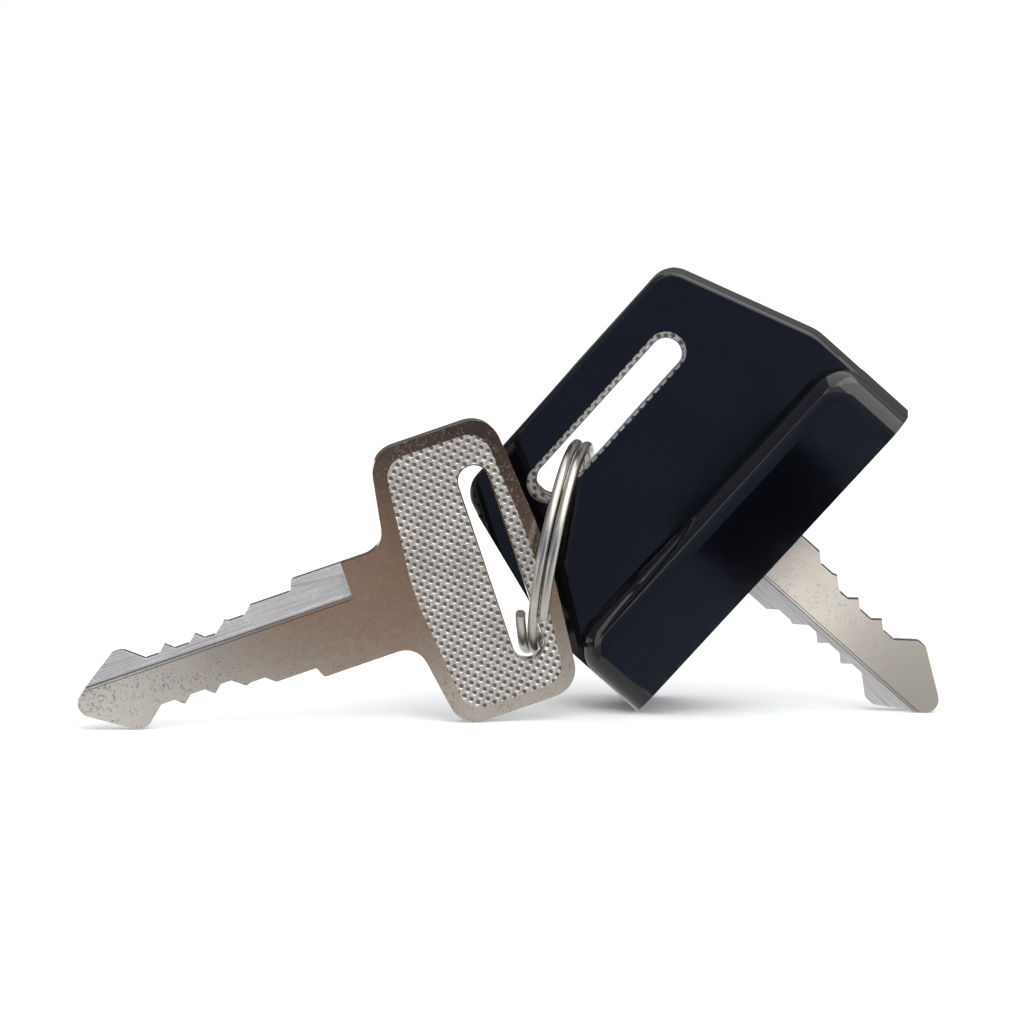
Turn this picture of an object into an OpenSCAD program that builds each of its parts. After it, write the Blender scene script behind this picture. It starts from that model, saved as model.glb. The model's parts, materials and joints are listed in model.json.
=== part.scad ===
// Two flat vehicle keys on a split ring; one key wears a moulded cover with a hollow hood.
// Millimetres, +Z up, floor at z = 0. The set stands free: the bare key on a crest of its blade
// and a corner of its bow, the covered key on the rim corner of its hood and on its nose.
// Each key is drawn in its own plane: x runs from the nose to the bow, z across, front face at -y.

/* [Key blank] */
// length from the nose to the end of the bow
key_length = 52.5; // [50:0.5:56]
// thickness of the blank
key_thickness = 2; // [1.6:0.1:2.4]
// width of the blade over its crests and before its shoulder
blade_width = 8.6; // [7.8:0.1:9.4]
// width of the neck behind the shoulder
neck_width = 11; // [10:0.1:13]
// distance from the nose to the shoulder
shoulder_at = 25.25; // [24:0.25:27]
// width of the bow
bow_width = 31.4; // [29:0.2:34]
// length of the bow where it leaves the neck
bow_length = 16.3; // [15:0.1:18]
// slant of the bow's edges beside the neck, degrees
bow_slant = 9.5; // [0:0.5:15]
// slant of the two halves of the bow's end edge, degrees
end_slant = 5; // [2:0.5:10]
// radius of the bow's corners
bow_radius = 3.1; // [2:0.1:4]
// radius between the neck and the bow
neck_radius = 2.5; // [1:0.1:4]

/* [Key cuts] */
// radius of the nose
nose_radius = 1.5; // [1:0.1:2]
// slant of the spear point, degrees
spear_angle = 34; // [30:1:40]
// slant behind the crests, degrees
back_angle = 40; // [35:1:50]
// distance from the nose to the end of the crests
crest_end = 6.35; // [6:0.05:7]
// radius of the crests
crest_radius = 1; // [0.6:0.1:1.2]
// width between the bottoms of the cuts
root_width = 5.1; // [4.5:0.1:5.8]
// distance from the nose to the first tooth
tooth_first = 10.8; // [10.6:0.1:11.2]
// distance from tooth to tooth
tooth_pitch = 3.4; // [3.2:0.05:3.6]
// full teeth along one edge
tooth_count = 2; // [2:1:2]
// width over the tips of the teeth
tooth_width = 6.7; // [6.2:0.1:7.2]
// half the length of a tooth at its foot
tooth_run = 0.9; // [0.7:0.05:1.1]
// width over the ledge behind the teeth
ledge_width = 6.9; // [6.4:0.1:7.6]
// distance from the nose to the end of the ledge
ledge_end = 19.75; // [19.5:0.25:21]
// radius in the corners of the cuts
cut_radius = 0.2; // [0.1:0.05:0.3]

/* [Key faces] */
// width of the slot in the bow
slot_width = 3.35; // [3.2:0.05:3.8]
// length of the slot in the bow
slot_length = 21.9; // [20:0.1:23]
// distance from the slot's middle to the end of the bow
slot_inset = 4.95; // [4.5:0.05:5.5]
// width of the plain border round the dimpled field
border_width = 1.4; // [1:0.1:2]
// depth of the dimpled field
field_depth = 0.2; // [0.1:0.05:0.3]
// depth of the milled flat along one side of each face
mill_depth = 0.6; // [0.4:0.05:0.7]
// distance of the milled flat from the key's axis
mill_offset = 1.7; // [1.2:0.1:2.2]
// width of the half-deep ledge at the foot of the milled flat
mill_ledge = 0.4; // [0.2:0.05:0.6]
// distance from the nose to the end of the milled flat
mill_end = 31.3; // [29:0.1:32]

/* [Cover] */
// length of the cover from its rim to its end
cover_length = 30.1; // [29:0.1:33]
// wall between the key's end and the cover's end
cover_end_wall = 1.5; // [1.2:0.1:2.5]
// width of the cover at its rim
hood_width = 43.6; // [40:0.2:48]
// thickness of the hood
hood_thickness = 11; // [9:0.5:14]
// length of the hood's thick part
hood_length = 10.4; // [9:0.1:11.5]
// length of the straight sides
side_length = 13.1; // [12:0.1:15]
// wall of the hood
hood_wall = 1.6; // [1:0.1:2]
// rounding of the hood's edges
hood_round = 3.3; // [2.2:0.1:3.6]
// radius of the hood's corners in front view
hood_radius = 4.2; // [3.8:0.1:5.4]
// width of the cover at its end
paddle_width = 32.8; // [32:0.2:36]
// thickness of the flat part round the bow
paddle_thickness = 5.4; // [4.6:0.1:6.4]
// rounding of the flat part's edges
paddle_round = 0.6; // [0.4:0.1:1.6]
// radius of the flat part's end corners in front view
paddle_radius = 3; // [2.5:0.1:4.5]
// margin of the cover's slot beside the key's slot
slot_margin = 0.5; // [0.4:0.05:0.8]
// margin of the cover's slot past each end of the key's slot
slot_end_margin = 0.9; // [0.5:0.05:1.2]
// shift of the cover's slot from the key's slot towards the cover's end
slot_offset = 0.2; // [0:0.05:0.3]
// clearance between the bow's edge and the cover's pocket
pocket_gap = 0.15; // [0.05:0.05:0.3]

/* [Split ring] */
// outer diameter of the ring
ring_diameter = 24; // [23.4:0.1:24.6]
// diameter of the wire
wire_diameter = 1.15; // [1:0.05:1.2]
// clearance between the two turns
turn_gap = 0.05; // [0.03:0.01:0.1]
// turn of the ring's plane towards the viewer, degrees
ring_turn = 6; // [0:1:15]
// distance between the two seats as a part of the ring's mean diameter
seat_ratio = 0.98; // [0.95:0.005:0.99]
// angle of the wire's two ends above the lower seat, degrees
ends_at = 26; // [20:1:40]

/* [Stand] */
// lean of the bare key towards the cover, degrees
bare_lean = 2; // [0:0.5:5]
// turn of the bare key about the vertical, degrees
bare_yaw = 11; // [4:0.5:12.5]
// clearance between the bare bow and the front of the hood
stand_gap = 0.7; // [0.4:0.1:2]
// distance along the row from the ring's lower seat to the line of the cover's side
seat_shift = 1.7; // [0.6:0.02:2.4]

/* [Hidden] */
$fn = 48;
over = 1;

half_thickness = key_thickness / 2;
blade_half = blade_width / 2;
neck_half = neck_width / 2;
bow_half = bow_width / 2;
root_half = root_width / 2;
tooth_half = tooth_width / 2;
ledge_half = ledge_width / 2;

// places along the key
end_radius = 60;
end_apex = key_length + end_radius * (1 / cos(end_slant) - 1);
nose_apex = nose_radius - nose_radius / sin(spear_angle);
crest_start = nose_apex + blade_half / tan(spear_angle);
root_start = crest_end + (blade_half - root_half) / tan(back_angle);
third_tooth = tooth_first + tooth_count * tooth_pitch;
bow_start = key_length - bow_length;
slot_at = key_length - slot_inset;

// places along the cover, in the key's own measure
cover_end = key_length + cover_end_wall;
rim_at = cover_end - cover_length;
knee_at = rim_at + side_length;
hood_end = rim_at + hood_length;
cavity_end = hood_end - hood_wall;
hood_half = hood_width / 2;
knee_radius = 6;
// shift of the edge roundings out of the sides, which they then meet at a faint edge
side_bite = 0.02;

// bow corner with its edge beside the neck, pushed outwards by a margin
function bow_corner(margin) = [
    bow_start - margin + (bow_half + margin - neck_half) * tan(bow_slant),
    bow_half + margin,
    bow_radius + margin
];
function end_corner(margin) = [
    end_apex + margin - (bow_half + margin) * tan(end_slant),
    bow_half + margin,
    bow_radius + margin
];

// one edge of the key from its spear point to its bow, as [x, z, radius]
function tooth_points(at) = [
    [at - tooth_run, root_half, cut_radius],
    [at, tooth_half, cut_radius],
    [at + tooth_run, root_half, cut_radius]
];
function joined(lists) = [for (list = lists) for (point = list) point];
function key_edge() = joined([
    [
        [crest_start, blade_half, crest_radius],
        [crest_end, blade_half, crest_radius],
        [root_start, root_half, cut_radius]
    ],
    joined([for (i = [0:tooth_count - 1]) tooth_points(tooth_first + i * tooth_pitch)]),
    [
        [third_tooth - 1.5 * tooth_run, root_half, cut_radius],
        [third_tooth, ledge_half + 0.2, cut_radius],
        [third_tooth + 0.5, ledge_half, cut_radius],
        [ledge_end, ledge_half, cut_radius],
        [ledge_end + 1, blade_half, cut_radius],
        [shoulder_at, blade_half, cut_radius],
        [shoulder_at + 0.5, neck_half, 2 * cut_radius],
        [bow_start, neck_half, neck_radius],
        bow_corner(0),
        end_corner(0)
    ]
]);

// closed outlines that mirror one edge across the axis, with or without points on the axis
function both_sides(edge) = concat(
    edge,
    [for (i = [len(edge) - 1:-1:0]) [edge[i][0], -edge[i][1], edge[i][2]]]
);
function mirrored(first, edge, last) = concat(
    [first],
    edge,
    [last],
    [for (i = [len(edge) - 1:-1:0]) [edge[i][0], -edge[i][1], edge[i][2]]]
);

// arc that rounds the corner between two edges
function unit(v) = v / norm(v);
function flat_point(p) = [p[0], p[1]];
function arc_steps(turn, radius) = max(2, ceil(abs(turn) / 12), ceil(radius * abs(turn) / 30));
function short_turn(angle) = angle > 180 ? angle - 360 : angle < -180 ? angle + 360 : angle;
function corner_arc(before, at, after, radius) =
    let (
        back = unit(before - at),
        ahead = unit(after - at),
        half = acos(back * ahead) / 2,
        middle = at + unit(back + ahead) * radius / sin(half),
        first = at + back * radius / tan(half) - middle,
        last = at + ahead * radius / tan(half) - middle,
        start = atan2(first[1], first[0]),
        turn = short_turn(atan2(last[1], last[0]) - start),
        steps = arc_steps(turn, radius)
    )
    [for (i = [0:steps]) middle + radius * [cos(start + turn * i / steps), sin(start + turn * i / steps)]];
function rounded(points) = joined([
    for (i = [0:len(points) - 1])
        let (
            at = points[i],
            before = points[(i + len(points) - 1) % len(points)],
            after = points[(i + 1) % len(points)]
        )
        at[2] > 0
            ? corner_arc(flat_point(before), flat_point(at), flat_point(after), at[2])
            : [flat_point(at)]
]);

// outlines
key_outline = mirrored([nose_apex, 0, nose_radius], key_edge(), [end_apex, 0, end_radius]);
field_edge = [
    [bow_corner(-border_width)[0], bow_corner(-border_width)[1], bow_radius - border_width / 2],
    [end_corner(-border_width)[0], end_corner(-border_width)[1], bow_radius - border_width / 2]
];
field_outline = mirrored(
    [bow_start + border_width, 0, end_radius / 2],
    field_edge,
    [end_apex - border_width, 0, end_radius]
);
pocket_edge = [
    [cavity_end - over, neck_half + pocket_gap, 0],
    [bow_start - pocket_gap, neck_half + pocket_gap, neck_radius - pocket_gap],
    bow_corner(pocket_gap),
    end_corner(pocket_gap)
];
pocket_outline = mirrored(
    [cavity_end - over, 0, 0],
    pocket_edge,
    [end_apex + pocket_gap, 0, end_radius]
);
paddle_outline = both_sides([
    [hood_end - hood_radius - 1, hood_half, 0],
    [knee_at, hood_half, knee_radius],
    [cover_end, paddle_width / 2, paddle_radius]
]);
hood_outline = both_sides([
    [rim_at, hood_half, 0],
    [hood_end, hood_half, hood_radius]
]);
cavity_half = [hood_half - hood_wall, hood_thickness / 2 - hood_wall];
cavity_outline = [
    for (side = [[-1, -1], [-1, 1], [1, 1], [1, -1]])
        [side[0] * cavity_half[0], side[1] * cavity_half[1], max(hood_round - hood_wall, 0.4)]
];

// prism over an outline in the key's plane, from y0 to y1
module slab(y0, y1) {
    rotate([90, 0, 0])
        translate([0, 0, -y1])
            linear_extrude(y1 - y0)
                children();
}

// slot with round ends across the bow
module long_hole(width, length) {
    for (side = [-1, 1])
        translate([slot_at, side * (length - width) / 2])
            circle(d = width);
    translate([slot_at - width / 2, (width - length) / 2])
        square([width, length - width]);
}

// ground that a milling cutter takes beside the axis
module mill_ground(offset_from_axis) {
    polygon([
        [-over, offset_from_axis],
        [mill_end, offset_from_axis],
        [mill_end, neck_half - 1.05],
        [shoulder_at + 0.5, neck_half - 0.5],
        [shoulder_at, neck_half + over],
        [-over, neck_half + over]
    ]);
}

module key_face_cuts() {
    slab(-half_thickness - over, field_depth - half_thickness)
        polygon(rounded(field_outline));
    slab(-half_thickness - over, mill_depth - half_thickness)
        mill_ground(mill_offset + mill_ledge);
    slab(-half_thickness - over, mill_depth / 2 - half_thickness)
        mill_ground(mill_offset);
}

// flat key; its two faces are alike after half a turn about the axis
module key() {
    difference() {
        slab(-half_thickness, half_thickness)
            polygon(rounded(key_outline));
        slab(-half_thickness - over, half_thickness + over)
            long_hole(slot_width, slot_length);
        key_face_cuts();
        rotate([180, 0, 0])
            key_face_cuts();
    }
}

// half the angle between the edges at a corner, and the middle of the corner's arc
function corner_half(before, at, after) =
    acos(unit(flat_point(before) - flat_point(at)) * unit(flat_point(after) - flat_point(at))) / 2;
function corner_middle(before, at, after) =
    flat_point(at) + at[2] / sin(corner_half(before, at, after)) * unit(
        unit(flat_point(before) - flat_point(at)) + unit(flat_point(after) - flat_point(at))
    );

// outline whose round corners are true arcs
module arc_outline(points) {
    count = len(points);
    function middle_at(i) = corner_middle(
        points[(i + count - 1) % count],
        points[i],
        points[(i + 1) % count]
    );
    polygon(joined([
        for (i = [0:count - 1])
            points[i][2] > 0
                ? [
                    edge_end(points, i, (i + count - 1) % count),
                    middle_at(i),
                    edge_end(points, i, (i + 1) % count)
                ]
                : [flat_point(points[i])]
    ]));
    for (i = [0:count - 1])
        if (points[i][2] > 0)
            translate(middle_at(i))
                circle(r = points[i][2], $fn = 96);
}

// corner that an edge rounding takes away, outline at x = 0 and face at y = height
module edge_waste(height, radius) {
    difference() {
        translate([side_bite - radius, height - radius])
            square(radius + over);
        translate([side_bite - radius, height - radius])
            circle(r = radius);
    }
}

// rounding of one straight edge of a plate, from the end of one corner to the start of the next
module straight_waste(from, to, height, radius) {
    along = flat_point(to) - flat_point(from);
    translate(flat_point(from))
        rotate([90, 0, 90 + atan2(along[1], along[0])])
            linear_extrude(norm(along))
                edge_waste(height, radius);
}

// rounding of one round corner of a plate, about the middle of the corner
module corner_waste(before, at, after, height, radius) {
    ahead = unit(flat_point(after) - flat_point(at));
    turn = 180 - 2 * corner_half(before, at, after);
    translate(corner_middle(before, at, after))
        rotate([0, 0, atan2(ahead[1], ahead[0]) + 90])
            rotate_extrude(angle = turn, $fn = 96)
                translate([at[2], 0])
                    edge_waste(height, radius);
}

// length that a rounded corner takes from each of its edges, or the overrun past a sharp one
function corner_reach(before, at, after) =
    at[2] > 0 ? at[2] / tan(corner_half(before, at, after)) : -over;

// plate with rounded edges over an outline that turns right; its closing edge stays sharp
module cushion(points, thickness, radius) {
    count = len(points);
    rotate([90, 0, 0])
        difference() {
            translate([0, 0, -thickness / 2])
                linear_extrude(thickness)
                    arc_outline(points);
            for (face = [0, 1])
                mirror([0, 0, face]) {
                    for (i = [0:count - 2])
                        straight_waste(
                            edge_end(points, i, i + 1),
                            edge_end(points, i + 1, i),
                            thickness / 2,
                            radius
                        );
                    for (i = [1:count - 2])
                        corner_waste(points[i - 1], points[i], points[i + 1], thickness / 2, radius);
                }
        }
}
function edge_end(points, at, towards) =
    let (
        count = len(points),
        before = points[(at + count - 1) % count],
        after = points[(at + 1) % count],
        reach = corner_reach(before, points[at], after)
    )
    flat_point(points[at]) + reach * unit(flat_point(points[towards]) - flat_point(points[at]));

// corner that a rounding in flats takes away, outline at x = 0 and face at y = height
edge_flats = 3;
module flat_waste(height, radius) {
    polygon(concat(
        [for (i = [0:edge_flats]) [
            radius * (cos(90 * i / edge_flats) - 1),
            height + radius * (sin(90 * i / edge_flats) - 1)
        ]],
        [[-radius, height + over], [over, height + over], [over, height - radius]]
    ));
}

// plate over a convex outline that turns right, each edge rounded in flats; its closing edge stays sharp
module flat_cushion(outline, thickness, radius) {
    rotate([90, 0, 0])
        difference() {
            translate([0, 0, -thickness / 2])
                linear_extrude(thickness)
                    polygon(outline);
            for (face = [0, 1], i = [0:len(outline) - 2])
                mirror([0, 0, face])
                    along_edge(outline[i], outline[i + 1])
                        flat_waste(thickness / 2, radius);
        }
}
module along_edge(from, to) {
    along = to - from;
    translate(from - over * unit(along))
        rotate([90, 0, 90 + atan2(along[1], along[0])])
            linear_extrude(norm(along) + 2 * over)
                children();
}

// hollow cover: flat paddle round the bow, hood open at its rim
module cover() {
    difference() {
        union() {
            flat_cushion(rounded(paddle_outline), paddle_thickness, paddle_round);
            cushion(hood_outline, hood_thickness, hood_round);
        }
        translate([rim_at - over, 0, 0])
            rotate([0, 90, 0])
                linear_extrude(cavity_end - rim_at + over)
                    polygon(rounded(cavity_outline));
        slab(-half_thickness, half_thickness)
            polygon(rounded(pocket_outline));
        slab(-hood_thickness, hood_thickness)
            translate([slot_offset, 0])
                long_hole(slot_width + 2 * slot_margin, slot_length + 2 * slot_end_margin);
    }
}

// stand of the covered key: floor line through the hood's rim corner, touching the nose
rim_reach = rim_at - nose_radius;
cover_slope = atan2(hood_half, rim_reach) - asin(nose_radius / norm([rim_reach, hood_half]));
cover_lift = hood_half * cos(cover_slope) - rim_at * sin(cover_slope);
function cover_row(x, z) = [
    -x * cos(cover_slope) - z * sin(cover_slope),
    0,
    x * sin(cover_slope) - z * cos(cover_slope) + cover_lift
];

// stand of the bare key: floor line that touches the lower crest and the bow's lower corner
crest_middle = [crest_start + crest_radius * tan(spear_angle / 2), crest_radius - blade_half];
bow_middle = [bow_corner(0)[0] + bow_radius * tan(45 - bow_slant / 2), bow_radius - bow_half];
stand_line = bow_middle - crest_middle;
bare_slope = asin((bow_radius - crest_radius) / norm(stand_line)) - atan2(stand_line[1], stand_line[0]);
crest_foot = crest_middle[0] * sin(bare_slope) + crest_middle[1] * cos(bare_slope) - crest_radius;
bare_lift = half_thickness * sin(bare_lean) - crest_foot * cos(bare_lean);
function turned(p) = [
    p[0] * cos(bare_yaw) - p[1] * sin(bare_yaw),
    p[0] * sin(bare_yaw) + p[1] * cos(bare_yaw),
    p[2]
];
function leaned(p) = [
    p[0],
    p[1] * cos(bare_lean) + p[2] * sin(bare_lean),
    p[2] * cos(bare_lean) - p[1] * sin(bare_lean)
];
function sloped(x, y, z) = [
    x * cos(bare_slope) - z * sin(bare_slope),
    y,
    x * sin(bare_slope) + z * cos(bare_slope)
];
function bare_turned(x, y, z) = turned(leaned(sloped(x, y, z)));
seat_depth = slot_length / 2 - slot_width / 2;
bow_back = bare_turned(end_corner(0)[0], half_thickness, -bow_half);
bare_seat = bare_turned(slot_at, 0, -seat_depth);
side_foot = cover_row(knee_at, hood_half);
side_top = cover_row(cover_end, paddle_width / 2);
side_share = (bare_seat[2] + bare_lift - side_foot[2]) / (side_top[2] - side_foot[2]);
side_line = side_foot + side_share * (side_top - side_foot);
bare_place = [
    side_line[0] - seat_shift - bare_seat[0],
    -hood_thickness / 2 - stand_gap - bow_back[1],
    bare_lift
];

// ring through both seats; the upper seat lies where the ring meets the cover's slot
mean_radius = (ring_diameter - wire_diameter) / 2;
seat_chord = 2 * mean_radius * seat_ratio;
lower_seat = bare_seat + bare_place;
slot_way = cover_row(0, 1) - cover_row(0, 0);
slot_reach = cover_row(slot_at, 0) - lower_seat;
slot_dot = slot_reach * slot_way;
upper_offset = -slot_dot - sqrt(slot_dot * slot_dot - slot_reach * slot_reach + seat_chord * seat_chord);
upper_seat = cover_row(slot_at, upper_offset);
chord_way = unit(upper_seat - lower_seat);
side_way = unit(cross([0, 1, 0], chord_way));
back_way = cross(chord_way, side_way);
flat_axis = side_way * cos(ring_turn) - back_way * sin(ring_turn);

// climb of the coil from its first end, and the height of the wire pair at the two seats
turn_pitch = wire_diameter + turn_gap;
function coil_climb(angle) = turn_pitch / 2 * (floor(angle / 180) + (1 - cos(angle % 180)) / 2);
lower_height = coil_climb(ends_at) - turn_pitch / 2;
upper_height = coil_climb(ends_at + 360 - 2 * asin(seat_ratio)) - turn_pitch / 2;

// the coil's axis tilts so that the pair passes through the middle of both slots
coil_tilt = asin((upper_height - lower_height) / seat_chord);
ring_axis = flat_axis * cos(coil_tilt) + chord_way * sin(coil_tilt);
flat_chord = seat_chord * cos(coil_tilt);
flat_way = unit(chord_way - ring_axis * sin(coil_tilt));
ring_back = cross(flat_way, ring_axis);
ring_middle = lower_seat - ring_axis * lower_height + flat_way * flat_chord / 2
    + ring_back * sqrt(mean_radius * mean_radius - flat_chord * flat_chord / 4);
ring_polar = acos(ring_axis[2]);
ring_azimuth = atan2(ring_axis[1], ring_axis[0]);
ring_x = [cos(ring_azimuth) * cos(ring_polar), sin(ring_azimuth) * cos(ring_polar), -sin(ring_polar)];
ring_y = [-sin(ring_azimuth), cos(ring_azimuth), 0];
seat_angle = atan2((lower_seat - ring_middle) * ring_y, (lower_seat - ring_middle) * ring_x);

// row shifted so that the origin lies on the floor under the middle of the set
nose_right = nose_radius * (1 - cos(cover_slope));
nose_left = bare_place[0] + bare_turned(nose_radius - nose_radius / cos(bare_slope), half_thickness, 0)[0];
ring_depth = mean_radius * sqrt(1 - ring_axis[1] * ring_axis[1]) + wire_diameter / 2
    + turn_pitch / 2 * abs(ring_axis[1]);
nose_front = bare_place[1] + bare_turned(0, -half_thickness, 0)[1];
row_front = min(nose_front, ring_middle[1] - ring_depth);
row_back = max(hood_thickness / 2, ring_middle[1] + ring_depth);
row_shift = [-(nose_left + nose_right) / 2, -(row_front + row_back) / 2, 0];

module in_cover_stand() {
    translate(row_shift + [0, 0, cover_lift])
        rotate([0, cover_slope - 180, 0])
            children();
}

module in_bare_stand() {
    translate(row_shift + bare_place)
        rotate([-bare_lean, 0, bare_yaw])
            rotate([0, -bare_slope, 0])
                children();
}

// coil of two turns; each half turn is a half circle, tilted so that it climbs by half a pitch,
// and both ends of the wire lie at angle 0
module coil() {
    half_tilt = asin(turn_pitch / 4 / mean_radius);
    for (half_turn = [0:3])
        rotate([0, 0, 180 * half_turn])
            translate([0, 0, turn_pitch * (half_turn / 2 - 0.75)])
                rotate([0, half_tilt, 0])
                    rotate_extrude(angle = 180, $fn = 96)
                        translate([mean_radius, 0])
                            circle(d = wire_diameter, $fn = 20);
}

module bare_key() {
    color([0.72, 0.7, 0.66])
        in_bare_stand()
            key();
}

module covered_key() {
    color([0.72, 0.7, 0.66])
        in_cover_stand()
            key();
}

module key_cover() {
    color([0.11, 0.12, 0.15])
        in_cover_stand()
            cover();
}

module split_ring() {
    color([0.75, 0.73, 0.69])
        translate(row_shift + ring_middle)
            rotate([0, ring_polar, ring_azimuth])
                rotate([0, 0, seat_angle - ends_at])
                    coil();
}

bare_key();
covered_key();
key_cover();
split_ring();
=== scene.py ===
# Ignition key set: two flat nickel keys on a split ring, one of them in a moulded black cover
import json
import math

import bmesh
import bpy
from mathutils import Matrix, Vector


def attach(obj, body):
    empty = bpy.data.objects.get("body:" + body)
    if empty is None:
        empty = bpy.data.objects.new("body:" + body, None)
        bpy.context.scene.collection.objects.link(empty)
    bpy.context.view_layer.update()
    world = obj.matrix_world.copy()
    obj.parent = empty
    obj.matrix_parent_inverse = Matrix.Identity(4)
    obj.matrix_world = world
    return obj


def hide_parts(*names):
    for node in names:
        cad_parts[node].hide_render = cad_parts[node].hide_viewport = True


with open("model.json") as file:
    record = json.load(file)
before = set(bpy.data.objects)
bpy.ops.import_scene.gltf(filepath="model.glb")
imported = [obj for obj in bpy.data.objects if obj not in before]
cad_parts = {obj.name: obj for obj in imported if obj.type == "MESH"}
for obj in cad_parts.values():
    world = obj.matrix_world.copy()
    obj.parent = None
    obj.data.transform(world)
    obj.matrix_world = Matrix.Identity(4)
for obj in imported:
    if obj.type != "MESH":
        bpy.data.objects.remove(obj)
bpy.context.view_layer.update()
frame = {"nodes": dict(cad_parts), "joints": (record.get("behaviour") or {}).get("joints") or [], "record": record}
mm = 0.001
scene = bpy.context.scene
mounts = {mount["name"]: mount for mount in frame["record"]["mounts"]}
joints = {joint["name"]: joint for joint in frame["joints"]}
print("frame loaded:", ", ".join(sorted(frame["nodes"])))


# places of the pieces: x from a key's nose to its bow, z across it, its front face towards -y
def placeFrom(origin, along, back):
    x = Vector(along).normalized()
    y = Vector(back)
    y = (y - x * y.dot(x)).normalized()
    place = Matrix((x, y, x.cross(y))).transposed().to_4x4()
    place.translation = Vector(origin)
    return place


def bladePlace(mount, back):
    return placeFrom(mount["pos_m"], -Vector(mount["axis"]), back)


barePlace = bladePlace(mounts["bare_blade"], joints["bare_key_swing"]["axis"])
coverPlace = bladePlace(mounts["covered_blade"], (0, 1, 0))
ringMiddle = Vector(mounts["ring_loop"]["pos_m"])
ringAxis = Vector(mounts["ring_loop"]["axis"]).normalized()
lowerSeat = Vector(joints["bare_key_swing"]["pos_m"])


# a socket of a shader; an expression on it adds Math nodes, add() makes any other node
class Shade:
    def __init__(self, tree, socket=None):
        self.tree = tree
        self.socket = socket

    def add(self, kind, settings=None, inputs=None, out=0):
        node = self.tree.nodes.new(kind)
        for name, value in (settings or {}).items():
            if name == "stops":
                self.setStops(node.color_ramp, value)
            else:
                setattr(node, name, value)
        for name, value in (inputs or {}).items():
            if isinstance(value, Shade):
                self.tree.links.new(value.socket, node.inputs[name])
            else:
                node.inputs[name].default_value = value
        return Shade(self.tree, node.outputs[out])

    def setStops(self, ramp, stops):
        while len(ramp.elements) < len(stops):
            ramp.elements.new(1)
        for element, (position, colour) in zip(ramp.elements, stops):
            element.position = position
            element.color = (*colour, 1)

    def math(self, operation, *values):
        return self.add("ShaderNodeMath", {"operation": operation}, dict(enumerate(values)))

    def __add__(self, other):
        return self.math("ADD", self, other)

    def __radd__(self, other):
        return self.math("ADD", other, self)

    def __sub__(self, other):
        return self.math("SUBTRACT", self, other)

    def __rsub__(self, other):
        return self.math("SUBTRACT", other, self)

    def __mul__(self, other):
        return self.math("MULTIPLY", self, other)

    def __rmul__(self, other):
        return self.math("MULTIPLY", other, self)

    def __truediv__(self, other):
        return self.math("DIVIDE", self, other)

    def __rtruediv__(self, other):
        return self.math("DIVIDE", other, self)

    def __pow__(self, other):
        return self.math("POWER", self, other)

    # 0 below low, 1 above high, smooth between
    def rise(self, low, high):
        settings = {"interpolation_type": "SMOOTHSTEP"}
        return self.add("ShaderNodeMapRange", settings, {"Value": self, "From Min": low, "From Max": high})

    # 1 between low and high, 0 outside, with soft sides
    def band(self, low, high):
        soft = (high - low) / 3
        return self.rise(low, low + soft) * (1 - self.rise(high - soft, high))

    # this vector stretched along its axes
    def stretched(self, x, y, z):
        return self.add("ShaderNodeVectorMath", {"operation": "MULTIPLY"}, {0: self, 1: (x, y, z)})

    # noise between 0 and 1 at this vector
    def noise(self, scale, detail=3.0, rough=0.5):
        inputs = {"Vector": self, "Scale": scale, "Detail": detail, "Roughness": rough}
        return self.add("ShaderNodeTexNoise", {}, inputs)

    # colour that goes from one to another as this value goes from 0 to 1
    def blend(self, first, last):
        inputs = {0: self, 6: asColour(first), 7: asColour(last)}
        return self.add("ShaderNodeMix", {"data_type": "RGBA"}, inputs, 2)

    def split(self):
        node = self.add("ShaderNodeSeparateXYZ", {}, {0: self})
        outputs = node.socket.node.outputs
        return [Shade(self.tree, outputs[i]) for i in range(3)]

    def bump(self, strength, distance):
        inputs = {"Height": self, "Strength": strength, "Distance": distance}
        return self.add("ShaderNodeBump", {}, inputs)


def asColour(value):
    return value if isinstance(value, Shade) else (*value, 1)


def newMaterial(name, **fixed):
    material = bpy.data.materials.new(name)
    material.use_nodes = True
    shader = material.node_tree.nodes["Principled BSDF"]
    for socket, value in fixed.items():
        shader.inputs[socket.replace("_", " ")].default_value = value
    return material, shader, Shade(material.node_tree)


def feed(shader, socket, shade):
    shade.tree.links.new(shade.socket, shader.inputs[socket])


# coordinates of a piece in millimetres, in its own place
def localPlace(start, place):
    objectPlace = start.add("ShaderNodeTexCoord", out=3)
    inputs = {
        "Vector": objectPlace,
        "Location": place.translation,
        "Rotation": place.to_euler(),
        "Scale": (mm, mm, mm),
    }
    return start.add("ShaderNodeMapping", {"vector_type": "TEXTURE"}, inputs)


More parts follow.
